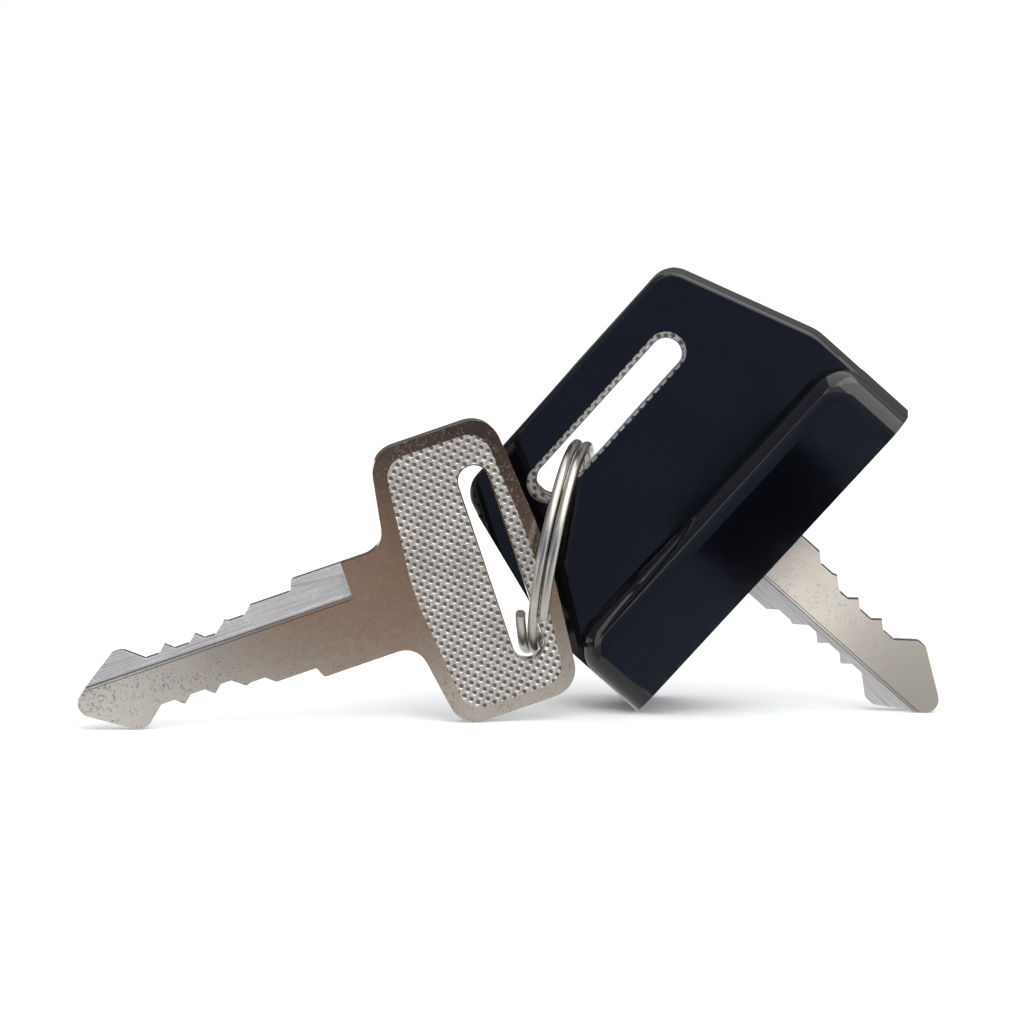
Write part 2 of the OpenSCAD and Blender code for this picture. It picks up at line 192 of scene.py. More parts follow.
# key metal: plated nickel with a brushed milled flat and a worn, speckled neck; painted into its colour are a
# brown that is partly tarnish and partly painted reflection, a lower bow kept lighter as painted light, bright
# painted glints and painted shade along the milled step
keyLook = {
    "plate": (0.66, 0.64, 0.60),
    "warm": (0.58, 0.43, 0.34),
    "milled": (0.93, 0.91, 0.87),
    "brushed": (0.50, 0.47, 0.43),
    "speck": (0.26, 0.21, 0.17),
    # edge: bright colour of the scratches and of the painted glints
    "edge": (0.82, 0.80, 0.75),
    # colour of the painted shade along the milled step
    "stepShade": (0.12, 0.10, 0.08),
    "millFrom": 1.7,
    "millSoft": 0.12,
    "millEnd": 31.3,
    "endSoft": 0.05,
    "innerShadeLine": (-0.30, -0.14),
    "outerShadeLine": (0.02, 0.18),
    "warmFrom": (12, 30),
    "litFootAlong": (36, 40),
    "litFootAcross": (2, 11),
    "cloud": (0.16, 2.0),
    "mottle": (1.1, 4.0, 0.65),
    "speckGrain": (3.6, 3.0, 0.7),
    "speckFrom": (0.54, 0.66),
    "speckPatch": (0.4, 2.0),
    "patchFrom": (0.30, 0.60),
    "glintGrain": (5.0, 2.0, 0.6),
    "glintFrom": (0.62, 0.70),
    "brushStretch": (0.10, 1, 9),
    "brushGrain": (1.6, 4.0, 0.65),
    "brushFrom": (0.42, 0.66),
    "scratchStretch": (4, 1, 0.35),
    "scratchGrain": (2.4, 2.0),
    "scratchFrom": (0.66, 0.72),
    "ripple": (1.3, 2.0),
    "bumpStrength": 0.22,
    "bumpHeight": 0.03 * mm,
}


# worn scales the specks, and with them the painted glints and the brown that is partly painted reflection
def keyNickel(name, place, worn):
    look = keyLook
    material, shader, start = newMaterial(name, Metallic=1.0)
    local = localPlace(start, place)
    along, deep, across = local.split()
    side = across * (0 - deep).math("SIGN", 0 - deep)
    step = look["millFrom"]
    cutEnd = 1 - along.rise(look["millEnd"], look["millEnd"] + look["endSoft"])
    milled = side.rise(step, step + look["millSoft"]) * cutEnd
    # painted shade: dark lines along both sides of the milled step
    inner, outer = [
        side.band(step + first, step + last)
        for first, last in (look["innerShadeLine"], look["outerShadeLine"])
    ]
    stepShades = (inner + outer) * cutEnd
    # painted light: the brown is kept off the lower bow, which stays lighter
    litFoot = along.rise(*look["litFootAlong"]) * (0 - across).rise(*look["litFootAcross"])
    warmth = along.rise(*look["warmFrom"]) * (1 - 0.7 * litFoot) * worn
    cloud = local.noise(*look["cloud"])
    mottle = local.noise(*look["mottle"])
    # brown on the neck and bow: partly tarnish, partly painted reflection
    tarnishAndReflection = warmth * (0.5 + 0.9 * (cloud - 0.5) + 1.5 * (mottle - 0.5))
    plate = tarnishAndReflection.blend(look["plate"], look["warm"])
    patches = local.noise(*look["speckPatch"]).rise(*look["patchFrom"])
    specks = local.noise(*look["speckGrain"]).rise(*look["speckFrom"]) * patches
    plate = (specks * (0.03 + 0.55 * worn)).blend(plate, look["speck"])
    # painted highlights: bright glints scattered over the neck
    glints = local.noise(*look["glintGrain"]).rise(*look["glintFrom"]) * (0.3 + 0.7 * warmth) * worn
    plate = (glints * 0.6).blend(plate, look["edge"])
    brush = local.stretched(*look["brushStretch"]).noise(*look["brushGrain"])
    bright = (brush.rise(*look["brushFrom"]) * 0.75).blend(look["milled"], look["brushed"])
    colour = (stepShades * 0.75).blend(milled.blend(plate, bright), look["stepShade"])
    scratch = local.stretched(*look["scratchStretch"]).noise(*look["scratchGrain"])
    scratch = scratch.rise(*look["scratchFrom"])
    colour = (scratch * 0.22).blend(colour, look["edge"])
    feed(shader, "Base Color", colour)
    rough = 0.11 + 0.06 * (cloud - 0.5) + milled * (0.2 + 0.2 * brush) + (0.2 * worn) * specks
    feed(shader, "Roughness", rough)
    height = milled * brush * 0.5 + local.noise(*look["ripple"]) * 0.12
    feed(shader, "Normal", height.bump(look["bumpStrength"], look["bumpHeight"]))
    return material


# dimpled metal of the bow: bright webs, and painted shade that darkens the pits with their depth
fieldLook = {
    "web": (0.72, 0.69, 0.64),
    "worn": (0.58, 0.55, 0.50),
    # pit: colour of the painted shade at the bottoms of the pits
    "pit": (0.22, 0.19, 0.16),
    "face": 1.0,
    "webDepth": 0.075,
    "pitDepth": 0.13,
    "cloud": (0.3, 3.0),
    "wornFrom": (0.35, 0.7),
    "grain": (9, 3.0),
    "bumpStrength": 0.2,
    "bumpHeight": 0.02 * mm,
}


def fieldNickel(name, place, roughness, metallic):
    look = fieldLook
    material, shader, start = newMaterial(name, Metallic=metallic)
    local = localPlace(start, place)
    deep = local.split()[1]
    depth = look["face"] - deep.math("ABSOLUTE", deep)
    # painted shade: the deeper a spot lies in a pit, the darker its colour
    paintedPitShade = depth.rise(look["webDepth"], look["pitDepth"])
    cloud = local.noise(*look["cloud"])
    web = cloud.rise(*look["wornFrom"]).blend(look["web"], look["worn"])
    feed(shader, "Base Color", paintedPitShade.blend(web, look["pit"]))
    feed(shader, "Roughness", roughness + 0.2 * paintedPitShade + 0.12 * (cloud - 0.5))
    grain = local.noise(*look["grain"])
    feed(shader, "Normal", grain.bump(look["bumpStrength"], look["bumpHeight"]))
    return material


# moulded cover: glossy blue-black plastic with faint flow marks and hairlines
coverLook = {
    "plastic": (0.0018, 0.0020, 0.0034),
    "dust": (0.012, 0.013, 0.017),
    "seam": (0.002, 0.002, 0.003),
    "seamHalf": 0.05,
    "cloud": (0.12, 3.0),
    "hairStretch": (0.25, 1, 5),
    "hairGrain": (2.2, 2.0),
    "hairFrom": (0.68, 0.74),
    "speckGrain": (7, 2.0),
    "speckFrom": (0.70, 0.76),
    "wave": (0.3, 2.0),
    "bumpStrength": 0.12,
    "bumpHeight": 0.08 * mm,
}


def coverPlastic(name, place):
    look = coverLook
    material, shader, start = newMaterial(
        name, IOR=1.5, Specular_IOR_Level=0.4, Coat_Roughness=0.03, Coat_IOR=1.45
    )
    local = localPlace(start, place)
    cloud = local.noise(*look["cloud"])
    hairlines = local.stretched(*look["hairStretch"]).noise(*look["hairGrain"]).rise(*look["hairFrom"])
    specks = local.noise(*look["speckGrain"]).rise(*look["speckFrom"])
    deep = local.split()[1]
    seam = 1 - deep.math("ABSOLUTE", deep).rise(look["seamHalf"] * 0.5, look["seamHalf"])
    colour = (specks * 0.4 + hairlines * 0.12).blend(look["plastic"], look["dust"])
    feed(shader, "Base Color", seam.blend(colour, look["seam"]))
    feed(shader, "Roughness", 0.03 + 0.04 * cloud + 0.08 * hairlines + 0.1 * seam)
    feed(shader, "Coat Weight", 0.2 - 0.12 * cloud)
    height = local.noise(*look["wave"]) * 0.6 + 0.05 * specks + 0.7 * seam
    feed(shader, "Normal", height.bump(look["bumpStrength"], look["bumpHeight"]))
    return material


# ring wire: drawn nickel silver with lengthwise lines
wireLook = {
    "bright": (0.50, 0.48, 0.44),
    "dull": (0.33, 0.30, 0.26),
    "cut": (0.16, 0.14, 0.12),
    "firstEnd": (0.0004, 0.0012),
    "lastEnd": (0.9958, 0.9964),
    "lineStretch": (30, 9, 1),
    "lineGrain": (1.0, 3.0),
    "cloud": (260, 3.0),
    "dullFrom": (0.3, 0.75),
    "bumpStrength": 0.15,
    "bumpHeight": 0.02 * mm,
}


def drawnWire(name):
    look = wireLook
    material, shader, start = newMaterial(name, Metallic=1.0)
    wrap = start.add("ShaderNodeUVMap", {"uv_map": "wireWrap"})
    length = wrap.split()[1]
    cut = 1 - length.rise(*look["firstEnd"]) + length.rise(*look["lastEnd"])
    place = start.add("ShaderNodeTexCoord", out=3)
    lines = wrap.stretched(*look["lineStretch"]).noise(*look["lineGrain"])
    cloud = place.noise(*look["cloud"])
    drawn = (lines * 0.5 + cloud * 0.5).rise(*look["dullFrom"]).blend(look["bright"], look["dull"])
    feed(shader, "Base Color", cut.blend(drawn, look["cut"]))
    feed(shader, "Roughness", 0.2 + 0.16 * cloud + 0.3 * cut)
    feed(shader, "Normal", lines.bump(look["bumpStrength"], look["bumpHeight"]))
    return material


materials = {
    "bareNickel": keyNickel("bareNickel", barePlace, 1.0),
    "coveredNickel": keyNickel("coveredNickel", coverPlace, 0.2),
    "bareField": fieldNickel("bareField", barePlace, 0.42, 1.0),
    "coveredField": fieldNickel("coveredField", coverPlace, 0.6, 0.3),
    "cover": coverPlastic("coverPlastic", coverPlace),
    "wire": drawnWire("drawnWire"),
}
print("materials made:", len(materials))


def linked(name, mesh, material):
    piece = bpy.data.objects.new(name, mesh)
    scene.collection.objects.link(piece)
    mesh.materials.clear()
    mesh.materials.append(material)
    return piece


def settle(piece, body, slot, *nodes):
    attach(piece, body)
    if nodes:
        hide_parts(*nodes)


softening = {
    "mergeWithin": 0.001 * mm,
    "flatWithin": math.radians(0.5),
    "segments": 2,
    "profile": 0.5,
    "levelWeight": 80,
}


# normals weighted by area, so that large faces stay level between their broken edges
def levelled(piece):
    level = piece.modifiers.new("level", "WEIGHTED_NORMAL")
    level.keep_sharp = True
    level.weight = softening["levelWeight"]
    triangles = piece.modifiers.new("triangles", "TRIANGULATE")
    triangles.min_vertices = 5
    triangles.keep_custom_normals = True
    graph = bpy.context.evaluated_depsgraph_get()
    mesh = bpy.data.meshes.new_from_object(piece.evaluated_get(graph))
    rough = piece.data
    piece.modifiers.clear()
    piece.data = mesh
    bpy.data.meshes.remove(rough)
    mesh.name = piece.name
    return piece


# copy of a solid, its triangles merged, with its sharp edges broken as plating and tumbling leave them
def softenedCopy(node, name, material, look):
    shape = bmesh.new()
    shape.from_mesh(frame["nodes"][node].data)
    bmesh.ops.remove_doubles(shape, verts=shape.verts, dist=softening["mergeWithin"])
    bmesh.ops.dissolve_limit(
        shape, angle_limit=softening["flatWithin"], verts=shape.verts, edges=shape.edges, delimit=set()
    )
    sharp = [
        edge for edge in shape.edges
        if edge.is_manifold and edge.calc_face_angle(0) > look["sharpest"]
    ]
    bmesh.ops.bevel(
        shape, geom=sharp, offset=look["brokenEdge"], offset_type="OFFSET",
        segments=softening["segments"], profile=softening["profile"],
        affect="EDGES", clamp_overlap=True, material=-1,
    )
    for face in shape.faces:
        face.smooth = True
    mesh = bpy.data.meshes.new(name)
    shape.to_mesh(mesh)
    shape.free()
    mesh.set_sharp_from_angle(angle=look["sharpest"])
    return levelled(linked(name, mesh, material))


keyShape = {"brokenEdge": 0.13 * mm, "sharpest": math.radians(35)}
bareBlank = softenedCopy("bare_key", "bareKeyBlank", materials["bareNickel"], keyShape)
settle(bareBlank, "bare_key_body", "key_nickel", "bare_key")
coveredBlank = softenedCopy("covered_key", "coveredKeyBlank", materials["coveredNickel"], keyShape)
settle(coveredBlank, "covered_key_body", "key_nickel", "covered_key")
print("key blanks made")

coverShape = {"brokenEdge": 0.08 * mm, "sharpest": math.radians(42)}
coverShell = softenedCopy("key_cover", "coverShell", materials["cover"], coverShape)
settle(coverShell, "covered_key_body", "cover_black", "key_cover")
print("cover made")


# node tree of geometry with its named inputs
def geometryTree(name, inputs):
    tree = bpy.data.node_groups.new(name, "GeometryNodeTree")
    for label, kind in inputs.items():
        tree.interface.new_socket(label, in_out="INPUT", socket_type=kind)
    tree.interface.new_socket("Geometry", in_out="OUTPUT", socket_type="NodeSocketGeometry")
    return tree


# adds nodes to a tree of geometry; an input takes a value, a socket or a list of sockets
class Step:
    def __init__(self, tree):
        self.tree = tree

    def add(self, kind, settings=None, inputs=None):
        node = self.tree.nodes.new(kind)
        for name, value in (settings or {}).items():
            setattr(node, name, value)
        for name, value in (inputs or {}).items():
            sources = value if isinstance(value, list) else [value]
            for source in sources:
                if isinstance(source, bpy.types.NodeSocket):
                    self.tree.links.new(source, node.inputs[name])
                else:
                    node.inputs[name].default_value = source
        return node

    def math(self, operation, *values):
        node = self.add("ShaderNodeMath", {"operation": operation}, dict(enumerate(values)))
        return node.outputs[0]


# mesh that a tree of geometry makes from these input values
def plainMesh(tree, name, values):
    holder = bpy.data.objects.new(name, bpy.data.meshes.new(name + "Start"))
    scene.collection.objects.link(holder)
    modifier = holder.modifiers.new("make", "NODES")
    modifier.node_group = tree
    sockets = {item.name: item.identifier for item in tree.interface.items_tree if item.in_out == "INPUT"}
    for label, value in values.items():
        modifier[sockets[label]] = value
    graph = bpy.context.evaluated_depsgraph_get()
    mesh = bpy.data.meshes.new_from_object(holder.evaluated_get(graph))
    mesh.name = name
    holder.modifiers.remove(modifier)
    bpy.data.objects.remove(holder)
    return mesh


# dimpled field of the bow: one pit repeated on a diamond lattice, cut to the field's outline
fieldShape = {
    "pitch": 1.13 * mm,
    "pitSides": 12,
    "rimDiameter": 0.66 * mm,
    "wallDiameter": 0.48 * mm,
    "floorDiameter": 0.26 * mm,
    "webDepth": 0.055 * mm,
    "rimDepth": 0.02 * mm,
    "wallDepth": 0.11 * mm,
    "floorDepth": 0.185 * mm,
    "fieldDepth": 0.2 * mm,
    "sewWithin": 0.002 * mm,
    "length": 18 * mm,
    "width": 31 * mm,
    "sharpest": math.radians(40),
}
bowShape = {
    "keyLength": 52.5 * mm,
    "bowLength": 16.3 * mm,
    "bowWidth": 31.4 * mm,
    "neckWidth": 11 * mm,
    "halfThickness": 1 * mm,
    "bowSlant": math.radians(9.5),
    "endSlant": math.radians(5),
    "bowRadius": 3.1 * mm,
    "endRadius": 60 * mm,
    "border": 1.4 * mm,
    "slotWidth": 3.35 * mm,
    "slotRelief": 0.15 * mm,
    "slotLength": 21.9 * mm,
    "slotInset": 4.95 * mm,
    "slotSteps": 24,
    "slotNear": 1.2 * mm,
    "nothing": 1e-7,
}


# one cell of the lattice, in its own plane with its depth along z
def pitCell(shape):
    half = shape["pitch"] / 2
    sides = shape["pitSides"]
    cell = bmesh.new()

    def ring(size, depth):
        turns = [2 * math.pi * i / sides for i in range(sides)]
        return [cell.verts.new((size(t) * math.cos(t), size(t) * math.sin(t), depth)) for t in turns]

    def diamond(turn):
        return half / (abs(math.cos(turn)) + abs(math.sin(turn)))

    rings = [
        ring(diamond, shape["webDepth"]),
        ring(lambda turn: shape["rimDiameter"] / 2, shape["rimDepth"]),
        ring(lambda turn: shape["wallDiameter"] / 2, shape["wallDepth"]),
        ring(lambda turn: shape["floorDiameter"] / 2, shape["floorDepth"]),
    ]
    for outer, inner in zip(rings, rings[1:]):
        for i in range(sides):
            cell.faces.new((outer[i], inner[i], inner[i - 1], outer[i - 1]))
    cell.faces.new(reversed(rings[-1]))
    mesh = bpy.data.meshes.new("pitCell")
    cell.to_mesh(mesh)
    cell.free()
    holder = bpy.data.objects.new("pitCell", mesh)
    scene.collection.objects.link(holder)
    return holder


def dimpleTree(material):
    tree = geometryTree("dimpledField", {
        "Cell": "NodeSocketObject",
        "Pitch": "NodeSocketFloat",
        "Length": "NodeSocketFloat",
        "Width": "NodeSocketFloat",
    })
    step = Step(tree)
    given = step.add("NodeGroupInput").outputs
    half = step.math("MULTIPLY", given["Pitch"], 0.5)
    counts = [
        step.math("ROUND", step.math("DIVIDE", given[side], given["Pitch"]))
        for side in ("Length", "Width")
    ]
    sizes = [step.math("MULTIPLY", given["Pitch"], step.math("SUBTRACT", count, 1)) for count in counts]
    grid = step.add("GeometryNodeMeshGrid", {}, {
        "Size X": sizes[0], "Size Y": sizes[1], "Vertices X": counts[0], "Vertices Y": counts[1],
    }).outputs[0]
    shift = step.add("ShaderNodeCombineXYZ", {}, {0: half, 1: half}).outputs[0]
    between = step.add("GeometryNodeTransform", {}, {"Geometry": grid, "Translation": shift}).outputs[0]
    lattice = step.add("GeometryNodeJoinGeometry", {}, {0: [grid, between]}).outputs[0]
    cell = step.add("GeometryNodeObjectInfo", {}, {"Object": given["Cell"]}).outputs["Geometry"]
    cells = step.add("GeometryNodeInstanceOnPoints", {}, {"Points": lattice, "Instance": cell}).outputs[0]
    whole = step.add("GeometryNodeRealizeInstances", {}, {0: cells}).outputs[0]
    sewn = step.add("GeometryNodeMergeByDistance", {}, {
        "Geometry": whole, "Distance": fieldShape["sewWithin"],
    }).outputs[0]
    done = step.add("GeometryNodeSetMaterial", {}, {"Geometry": sewn, "Material": material}).outputs[0]
    step.add("NodeGroupOutput", {}, {0: done})
    return tree


# corner of an outline rounded by an arc, as points
def roundedCorner(before, at, after, radius, steps=8):
    back = (before - at).normalized()
    ahead = (after - at).normalized()
    half = back.angle(ahead) / 2
    middle = at + (back + ahead).normalized() * radius / math.sin(half)
    first = at + back * radius / math.tan(half) - middle
    turn = first.angle_signed(at + ahead * radius / math.tan(half) - middle)
    return [middle + Matrix.Rotation(-turn * i / steps, 2) @ first for i in range(steps + 1)]


# outline of the field in the key's plane, as (along, across)
def fieldOutline(shape):
    half = shape["bowWidth"] / 2 - shape["border"]
    neck = shape["neckWidth"] / 2
    bowStart = shape["keyLength"] - shape["bowLength"]
    apex = shape["keyLength"] + shape["endRadius"] * (1 / math.cos(shape["endSlant"]) - 1) - shape["border"]
    nearNeck = bowStart + shape["border"] + (half - neck) * math.tan(shape["bowSlant"])
    atEnd = apex - half * math.tan(shape["endSlant"])
    radius = shape["bowRadius"] - shape["border"] / 2
    corners = [
        (Vector((bowStart + shape["border"], 0)), shape["endRadius"] / 2),
        (Vector((nearNeck, half)), radius),
        (Vector((atEnd, half)), radius),
        (Vector((apex, 0)), shape["endRadius"]),
        (Vector((atEnd, -half)), radius),
        (Vector((nearNeck, -half)), radius),
    ]
    points = []
    for i, (at, size) in enumerate(corners):
        points += roundedCorner(corners[i - 1][0], at, corners[(i + 1) % len(corners)][0], size)
    return points


def cutAlong(sheet, faces, at, normal, clear):
    geom = set(faces)
    for face in faces:
        geom.update(face.edges)
        geom.update(face.verts)
    bmesh.ops.bisect_plane(sheet, geom=list(geom), dist=1e-8, plane_co=at, plane_no=normal, clear_outer=clear)


# field sheet of one face of a key, its pits towards +z here; cut to outline and slot
def cutField(mesh, shape, depth):
    sheet = bmesh.new()
    sheet.from_mesh(mesh)
    outline = fieldOutline(shape)
    for i, at in enumerate(outline):
        along = at - outline[i - 1]
        if along.length < shape["nothing"]:
            continue
        outwards = Vector((-along.y, along.x, 0))
        cutAlong(sheet, sheet.faces[:], at.to_3d(), outwards, True)
    slotAt = shape["keyLength"] - shape["slotInset"]
    slotHalf = shape["slotWidth"] / 2 + shape["slotRelief"]
    reach = (shape["slotLength"] - shape["slotWidth"]) / 2
    for side in (-1, 1):
        cutAlong(sheet, sheet.faces[:], Vector((slotAt + side * slotHalf, 0, 0)), Vector((side, 0, 0)), False)
        for i in range(1, shape["slotSteps"]):
            turn = side * math.pi * i / shape["slotSteps"]
            way = Vector((math.cos(turn), math.sin(turn), 0))
            middle = Vector((slotAt, side * reach, 0))
            spot = middle + way * slotHalf
            near = [
                face for face in sheet.faces
                if (face.calc_center_median() - spot).to_2d().length < shape["slotNear"]
            ]
            cutAlong(sheet, near, spot, way, False)

    def inSlot(face):
        centre = face.calc_center_median()
        beyond = max(0, abs(centre.y) - reach)
        return math.hypot(centre.x - slotAt, beyond) < slotHalf - shape["nothing"]

    bmesh.ops.delete(sheet, geom=[face for face in sheet.faces if inSlot(face)], context="FACES")
    rim = [edge for edge in sheet.edges if edge.is_boundary]
    skirt = bmesh.ops.extrude_edge_only(sheet, edges=rim)["geom"]
    for vert in skirt:
        if isinstance(vert, bmesh.types.BMVert):
            vert.co.z = depth
    return sheet


def dimpledField(name, material, place, body):
    cell = pitCell(fieldShape)
    values = {
        "Cell": cell,
        "Pitch": fieldShape["pitch"],
        "Length": fieldShape["length"],
        "Width": fieldShape["width"] + 2 * fieldShape["pitch"],
    }
    mesh = plainMesh(dimpleTree(material), name, values)
    bpy.data.objects.remove(cell)
    middle = bowShape["keyLength"] - bowShape["bowLength"] / 2
    mesh.transform(Matrix.Translation((middle, 0, 0)))
    sheet = cutField(mesh, bowShape, fieldShape["fieldDepth"])
    halfTurn = Matrix.Rotation(math.pi, 4, "X")
    # depth runs along +z in the sheet and along +y in the key
    toKey = Matrix(((1, 0, 0, 0), (0, 0, 1, -bowShape["halfThickness"]), (0, 1, 0, 0), (0, 0, 0, 1)))
    both = bmesh.new()
    for turn in (Matrix.Identity(4), halfTurn):
        part = bpy.data.meshes.new("fieldPart")
        sheet.to_mesh(part)
        part.transform(place @ turn @ toKey)
        both.from_mesh(part)
        bpy.data.meshes.remove(part)
    sheet.free()
    for face in both.faces:
        face.smooth = True
    bmesh.ops.recalc_face_normals(both, faces=both.faces)
    both.to_mesh(mesh)
    both.free()
    mesh.set_sharp_from_angle(angle=fieldShape["sharpest"])
    piece = linked(name, mesh, material)
    settle(piece, body, "key_nickel")
    return piece


for name, material, place, body in (
    ("bareDimples", materials["bareField"], barePlace, "bare_key_body"),
    ("coveredDimples", materials["coveredField"], coverPlace, "covered_key_body"),
):
    piece = dimpledField(name, material, place, body)
    print(name, "made, faces:", len(piece.data.polygons))


# split ring: one wire of two turns that climbs by half a pitch in each half turn; its first end is sprung out
ringShape = {
    "meanRadius": 11.425 * mm,
    "wireRadius": 0.54 * mm,
    "turnPitch": 1.13 * mm,
    "endsAt": math.radians(26),
    "sweep": math.radians(720),
    "flare": 0.25 * mm,
    "flareAngle": math.radians(19),
    "points": 300,
    "sides": 20,
    "sharpest": math.radians(50),
}


def coilTree(material):
    tree = geometryTree("splitRing", {
        "Mean Radius": "NodeSocketFloat",
        "Wire Radius": "NodeSocketFloat",
        "Turn Pitch": "NodeSocketFloat",
        "Sweep": "NodeSocketFloat",
        "Flare": "NodeSocketFloat",
        "Flare Angle": "NodeSocketFloat",
        "Points": "NodeSocketInt",
        "Sides": "NodeSocketInt",
    })
    step = Step(tree)
    given = step.add("NodeGroupInput").outputs
    line = step.add("GeometryNodeCurvePrimitiveLine", {}, {"Start": (0, 0, 0), "End": (1, 0, 0)}).outputs[0]
    fine = step.add("GeometryNodeResampleCurve", {}, {"Curve": line, "Count": given["Points"]}).outputs[0]
    part = step.add("GeometryNodeSplineParameter").outputs["Factor"]
    angle = step.math("MULTIPLY", part, given["Sweep"])
    halfTurns = step.math("FLOOR", step.math("DIVIDE", angle, math.pi))
    rest = step.math("SUBTRACT", angle, step.math("MULTIPLY", halfTurns, math.pi))
    climb = step.math("MULTIPLY", step.math("SUBTRACT", 1, step.math("COSINE", rest)), 0.5)
    climb = step.math("SUBTRACT", step.math("MULTIPLY", step.math("ADD", halfTurns, climb), 0.5), 1)
    flare = step.add("ShaderNodeMapRange", {"interpolation_type": "SMOOTHSTEP"}, {
        "Value": angle, "From Min": given["Flare Angle"], "From Max": 0.0,
        "To Min": 0.0, "To Max": given["Flare"],
    }).outputs[0]
    lift = step.math("SUBTRACT", step.math("MULTIPLY", given["Turn Pitch"], climb), flare)
    spot = step.add("ShaderNodeCombineXYZ", {}, {
        0: step.math("MULTIPLY", given["Mean Radius"], step.math("COSINE", angle)),
        1: step.math("MULTIPLY", given["Mean Radius"], step.math("SINE", angle)),
        2: lift,
    }).outputs[0]
    coil = step.add("GeometryNodeSetPosition", {}, {"Geometry": fine, "Position": spot}).outputs[0]
    round_ = step.add("GeometryNodeCurvePrimitiveCircle", {}, {
        "Resolution": given["Sides"], "Radius": given["Wire Radius"],
    }).outputs[0]
    wire = step.add("GeometryNodeCurveToMesh", {}, {
        "Curve": coil, "Profile Curve": round_, "Fill Caps": True,
    }).outputs[0]
    whole = step.add("GeometryNodeRealizeInstances", {}, {0: wire}).outputs[0]
    done = step.add("GeometryNodeSetMaterial", {}, {"Geometry": whole, "Material": material}).outputs[0]
    step.add("NodeGroupOutput", {}, {0: done})
    return tree


def splitRing():
    shape = ringShape
    values = {
        "Mean Radius": shape["meanRadius"],
        "Wire Radius": shape["wireRadius"],
        "Turn Pitch": shape["turnPitch"],
        "Sweep": shape["sweep"],
        "Flare": shape["flare"],
        "Flare Angle": shape["flareAngle"],
        "Points": shape["points"],
        "Sides": shape["sides"],
    }
    mesh = plainMesh(coilTree(materials["wire"]), "splitRingWire", values)
    towards = lowerSeat - ringMiddle
    towards = (towards - ringAxis * towards.dot(ringAxis)).normalized()
    place = Matrix((towards, ringAxis.cross(towards), ringAxis)).transposed().to_4x4()
    place.translation = ringMiddle
    mesh.transform(place @ Matrix.Rotation(-shape["endsAt"], 4, "Z"))
    wrap = mesh.uv_layers.new(name="wireWrap")
    rings = len(mesh.vertices) // shape["sides"]
    for loop in mesh.loops:
        along, round_ = divmod(loop.vertex_index, shape["sides"])
        wrap.data[loop.index].uv = (round_ / shape["sides"], along / rings)
    for polygon in mesh.polygons:
        polygon.use_smooth = True
    mesh.set_sharp_from_angle(angle=shape["sharpest"])
    piece = linked("splitRingWire", mesh, materials["wire"])
    settle(piece, "ring_body", "ring_wire", "split_ring")


splitRing()
print("split ring made")


# camera at the photograph's height and side
cameraView = {
    "azimuth": 5.59,
    "elevation": 9.80,
    "distance": 416.5 * mm,
    "aim": Vector((-0.369, -0.5, 22.029)) * mm,
    "focalPixels": 3865.5,
    "picturePixels": 1024,
    "sensor": 36.0,
    "clip": (0.01, 20),
}


def makeCamera(view):
    turn = math.radians(view["azimuth"])
    tilt = math.radians(view["elevation"])
    back = Vector((math.sin(turn) * math.cos(tilt), -math.cos(turn) * math.cos(tilt), math.sin(tilt)))
    data = bpy.data.cameras.new("camera")
    data.sensor_width = view["sensor"]
    data.lens = view["sensor"] * view["focalPixels"] / view["picturePixels"]
    data.clip_start, data.clip_end = view["clip"]
    camera = bpy.data.objects.new("camera", data)
    scene.collection.objects.link(camera)
    camera.location = view["aim"] + back * view["distance"]
    camera.rotation_euler = (-back).to_track_quat("-Z", "Y").to_euler()
    scene.camera = camera


makeCamera(cameraView)


# studio: white sheet, whose front part shows in no reflection, and toned cards that the faces reflect instead
studio = {
    "sheetFront": 0.005,
    "apronFront": -0.60,
    "sheetBack": 0.42,
    "sheetHalf": 0.9,
    "sheetColour": (0.93, 0.93, 0.93),
    "sheetRoughness": 0.9,
    "sheetGloss": 0.1,
    "worldColour": (0.9, 0.95, 1.0),
    "worldStrength": 0.55,
    "lamps": [
        ("topLamp", (-0.10, 0.10, 0.75), (0, 0, 0.02), 1.2, 5.0),
        ("leftLamp", (-0.75, -0.45, 0.45), (0, 0, 0.02), 0.9, 2.6),
        ("rightLamp", (0.42, -0.25, 0.55), (0, 0, 0.02), 0.85, 4.4),
    ],
}
